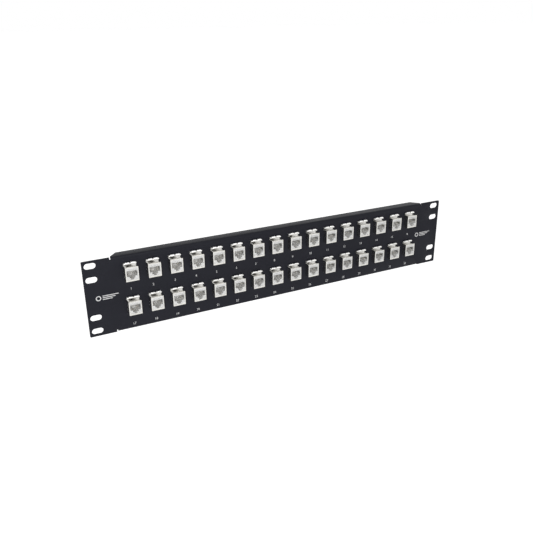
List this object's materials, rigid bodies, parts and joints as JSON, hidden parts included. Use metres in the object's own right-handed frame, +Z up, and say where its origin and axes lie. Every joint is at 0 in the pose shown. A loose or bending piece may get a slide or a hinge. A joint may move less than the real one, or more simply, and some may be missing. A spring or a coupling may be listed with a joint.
{
  "type": "rack patch panel",
  "caption": "Two-unit rack patch panel: bent black sheet with two rows of shielded eight-way feed-through jacks, each held in its window by a spring latch lever.",
  "frame": {"origin": "centre of the mounting plane, on the rear face of the two ears that lies against the rack rails", "axes": "+X to the right as seen from the front, +Y back into the rack, +Z up"},
  "size_m": [0.4826, 0.0312, 0.0882],
  "materials": {
    "panel": "black powder coat, fine texture, semi-matt",
    "shell": "nickel-plated zinc die casting, smooth",
    "insert": "light warm grey moulded nylon",
    "contact": "gold-plated phosphor bronze wire",
    "spring": "thin stamped spring steel",
    "board": "green solder mask on glass-fibre board",
    "pin": "turned steel pin",
    "latch": "nickel-plated zinc casting, polished"
  },
  "bodies": {
    "rack_panel": {"front_panel": "panel", "upper_flange": "panel", "lower_flange": "panel", "front_shells": "shell", "rear_shells": "shell", "front_inserts": "insert", "rear_inserts": "insert", "front_contacts": "contact", "rear_contacts": "contact", "front_shield_springs": "spring", "rear_shield_springs": "spring", "circuit_boards": "board", "latch_pins": "pin"},
    "latch_01": {"latch_01": "latch"},
    "latch_02": {"latch_02": "latch"},
    "latch_03": {"latch_03": "latch"},
    "latch_04": {"latch_04": "latch"},
    "latch_05": {"latch_05": "latch"},
    "latch_06": {"latch_06": "latch"},
    "latch_07": {"latch_07": "latch"},
    "latch_08": {"latch_08": "latch"},
    "latch_09": {"latch_09": "latch"},
    "latch_10": {"latch_10": "latch"},
    "latch_11": {"latch_11": "latch"},
    "latch_12": {"latch_12": "latch"},
    "latch_13": {"latch_13": "latch"},
    "latch_14": {"latch_14": "latch"},
    "latch_15": {"latch_15": "latch"},
    "latch_16": {"latch_16": "latch"},
    "latch_17": {"latch_17": "latch"},
    "latch_18": {"latch_18": "latch"},
    "latch_19": {"latch_19": "latch"},
    "latch_20": {"latch_20": "latch"},
    "latch_21": {"latch_21": "latch"},
    "latch_22": {"latch_22": "latch"},
    "latch_23": {"latch_23": "latch"},
    "latch_24": {"latch_24": "latch"},
    "latch_25": {"latch_25": "latch"},
    "latch_26": {"latch_26": "latch"},
    "latch_27": {"latch_27": "latch"},
    "latch_28": {"latch_28": "latch"},
    "latch_29": {"latch_29": "latch"},
    "latch_30": {"latch_30": "latch"},
    "latch_31": {"latch_31": "latch"},
    "latch_32": {"latch_32": "latch"}
  },
  "joints": [
    {"name": "latch_01_press", "type": "hinge", "parent": "rack_panel", "child": "latch_01", "pos_m": [-0.1905, 0.0135, 0.03325], "axis": [1, 0, 0], "range_deg": [0, 4], "stiffness_Nm_per_rad": 0.12, "springref_deg": -5.73},
    {"name": "latch_02_press", "type": "hinge", "parent": "rack_panel", "child": "latch_02", "pos_m": [-0.1651, 0.0135, 0.03325], "axis": [1, 0, 0], "range_deg": [0, 4], "stiffness_Nm_per_rad": 0.12, "springref_deg": -5.73},
    {"name": "latch_03_press", "type": "hinge", "parent": "rack_panel", "child": "latch_03", "pos_m": [-0.1397, 0.0135, 0.03325], "axis": [1, 0, 0], "range_deg": [0, 4], "stiffness_Nm_per_rad": 0.12, "springref_deg": -5.73},
    {"name": "latch_04_press", "type": "hinge", "parent": "rack_panel", "child": "latch_04", "pos_m": [-0.1143, 0.0135, 0.03325], "axis": [1, 0, 0], "range_deg": [0, 4], "stiffness_Nm_per_rad": 0.12, "springref_deg": -5.73},
    {"name": "latch_05_press", "type": "hinge", "parent": "rack_panel", "child": "latch_05", "pos_m": [-0.0889, 0.0135, 0.03325], "axis": [1, 0, 0], "range_deg": [0, 4], "stiffness_Nm_per_rad": 0.12, "springref_deg": -5.73},
    {"name": "latch_06_press", "type": "hinge", "parent": "rack_panel", "child": "latch_06", "pos_m": [-0.0635, 0.0135, 0.03325], "axis": [1, 0, 0], "range_deg": [0, 4], "stiffness_Nm_per_rad": 0.12, "springref_deg": -5.73},
    {"name": "latch_07_press", "type": "hinge", "parent": "rack_panel", "child": "latch_07", "pos_m": [-0.0381, 0.0135, 0.03325], "axis": [1, 0, 0], "range_deg": [0, 4], "stiffness_Nm_per_rad": 0.12, "springref_deg": -5.73},
    {"name": "latch_08_press", "type": "hinge", "parent": "rack_panel", "child": "latch_08", "pos_m": [-0.0127, 0.0135, 0.03325], "axis": [1, 0, 0], "range_deg": [0, 4], "stiffness_Nm_per_rad": 0.12, "springref_deg": -5.73},
    {"name": "latch_09_press", "type": "hinge", "parent": "rack_panel", "child": "latch_09", "pos_m": [0.0127, 0.0135, 0.03325], "axis": [1, 0, 0], "range_deg": [0, 4], "stiffness_Nm_per_rad": 0.12, "springref_deg": -5.73},
    {"name": "latch_10_press", "type": "hinge", "parent": "rack_panel", "child": "latch_10", "pos_m": [0.0381, 0.0135, 0.03325], "axis": [1, 0, 0], "range_deg": [0, 4], "stiffness_Nm_per_rad": 0.12, "springref_deg": -5.73},
    {"name": "latch_11_press", "type": "hinge", "parent": "rack_panel", "child": "latch_11", "pos_m": [0.0635, 0.0135, 0.03325], "axis": [1, 0, 0], "range_deg": [0, 4], "stiffness_Nm_per_rad": 0.12, "springref_deg": -5.73},
    {"name": "latch_12_press", "type": "hinge", "parent": "rack_panel", "child": "latch_12", "pos_m": [0.0889, 0.0135, 0.03325], "axis": [1, 0, 0], "range_deg": [0, 4], "stiffness_Nm_per_rad": 0.12, "springref_deg": -5.73},
    {"name": "latch_13_press", "type": "hinge", "parent": "rack_panel", "child": "latch_13", "pos_m": [0.1143, 0.0135, 0.03325], "axis": [1, 0, 0], "range_deg": [0, 4], "stiffness_Nm_per_rad": 0.12, "springref_deg": -5.73},
    {"name": "latch_14_press", "type": "hinge", "parent": "rack_panel", "child": "latch_14", "pos_m": [0.1397, 0.0135, 0.03325], "axis": [1, 0, 0], "range_deg": [0, 4], "stiffness_Nm_per_rad": 0.12, "springref_deg": -5.73},
    {"name": "latch_15_press", "type": "hinge", "parent": "rack_panel", "child": "latch_15", "pos_m": [0.1651, 0.0135, 0.03325], "axis": [1, 0, 0], "range_deg": [0, 4], "stiffness_Nm_per_rad": 0.12, "springref_deg": -5.73},
    {"name": "latch_16_press", "type": "hinge", "parent": "rack_panel", "child": "latch_16", "pos_m": [0.1905, 0.0135, 0.03325], "axis": [1, 0, 0], "range_deg": [0, 4], "stiffness_Nm_per_rad": 0.12, "springref_deg": -5.73},
    {"name": "latch_17_press", "type": "hinge", "parent": "rack_panel", "child": "latch_17", "pos_m": [-0.1905, 0.0135, -0.00695], "axis": [1, 0, 0], "range_deg": [0, 4], "stiffness_Nm_per_rad": 0.12, "springref_deg": -5.73},
    {"name": "latch_18_press", "type": "hinge", "parent": "rack_panel", "child": "latch_18", "pos_m": [-0.1651, 0.0135, -0.00695], "axis": [1, 0, 0], "range_deg": [0, 4], "stiffness_Nm_per_rad": 0.12, "springref_deg": -5.73},
    {"name": "latch_19_press", "type": "hinge", "parent": "rack_panel", "child": "latch_19", "pos_m": [-0.1397, 0.0135, -0.00695], "axis": [1, 0, 0], "range_deg": [0, 4], "stiffness_Nm_per_rad": 0.12, "springref_deg": -5.73},
    {"name": "latch_20_press", "type": "hinge", "parent": "rack_panel", "child": "latch_20", "pos_m": [-0.1143, 0.0135, -0.00695], "axis": [1, 0, 0], "range_deg": [0, 4], "stiffness_Nm_per_rad": 0.12, "springref_deg": -5.73},
    {"name": "latch_21_press", "type": "hinge", "parent": "rack_panel", "child": "latch_21", "pos_m": [-0.0889, 0.0135, -0.00695], "axis": [1, 0, 0], "range_deg": [0, 4], "stiffness_Nm_per_rad": 0.12, "springref_deg": -5.73},
    {"name": "latch_22_press", "type": "hinge", "parent": "rack_panel", "child": "latch_22", "pos_m": [-0.0635, 0.0135, -0.00695], "axis": [1, 0, 0], "range_deg": [0, 4], "stiffness_Nm_per_rad": 0.12, "springref_deg": -5.73},
    {"name": "latch_23_press", "type": "hinge", "parent": "rack_panel", "child": "latch_23", "pos_m": [-0.0381, 0.0135, -0.00695], "axis": [1, 0, 0], "range_deg": [0, 4], "stiffness_Nm_per_rad": 0.12, "springref_deg": -5.73},
    {"name": "latch_24_press", "type": "hinge", "parent": "rack_panel", "child": "latch_24", "pos_m": [-0.0127, 0.0135, -0.00695], "axis": [1, 0, 0], "range_deg": [0, 4], "stiffness_Nm_per_rad": 0.12, "springref_deg": -5.73},
    {"name": "latch_25_press", "type": "hinge", "parent": "rack_panel", "child": "latch_25", "pos_m": [0.0127, 0.0135, -0.00695], "axis": [1, 0, 0], "range_deg": [0, 4], "stiffness_Nm_per_rad": 0.12, "springref_deg": -5.73},
    {"name": "latch_26_press", "type": "hinge", "parent": "rack_panel", "child": "latch_26", "pos_m": [0.0381, 0.0135, -0.00695], "axis": [1, 0, 0], "range_deg": [0, 4], "stiffness_Nm_per_rad": 0.12, "springref_deg": -5.73},
    {"name": "latch_27_press", "type": "hinge", "parent": "rack_panel", "child": "latch_27", "pos_m": [0.0635, 0.0135, -0.00695], "axis": [1, 0, 0], "range_deg": [0, 4], "stiffness_Nm_per_rad": 0.12, "springref_deg": -5.73},
    {"name": "latch_28_press", "type": "hinge", "parent": "rack_panel", "child": "latch_28", "pos_m": [0.0889, 0.0135, -0.00695], "axis": [1, 0, 0], "range_deg": [0, 4], "stiffness_Nm_per_rad": 0.12, "springref_deg": -5.73},
    {"name": "latch_29_press", "type": "hinge", "parent": "rack_panel", "child": "latch_29", "pos_m": [0.1143, 0.0135, -0.00695], "axis": [1, 0, 0], "range_deg": [0, 4], "stiffness_Nm_per_rad": 0.12, "springref_deg": -5.73},
    {"name": "latch_30_press", "type": "hinge", "parent": "rack_panel", "child": "latch_30", "pos_m": [0.1397, 0.0135, -0.00695], "axis": [1, 0, 0], "range_deg": [0, 4], "stiffness_Nm_per_rad": 0.12, "springref_deg": -5.73},
    {"name": "latch_31_press", "type": "hinge", "parent": "rack_panel", "child": "latch_31", "pos_m": [0.1651, 0.0135, -0.00695], "axis": [1, 0, 0], "range_deg": [0, 4], "stiffness_Nm_per_rad": 0.12, "springref_deg": -5.73},
    {"name": "latch_32_press", "type": "hinge", "parent": "rack_panel", "child": "latch_32", "pos_m": [0.1905, 0.0135, -0.00695], "axis": [1, 0, 0], "range_deg": [0, 4], "stiffness_Nm_per_rad": 0.12, "springref_deg": -5.73}
  ]
}
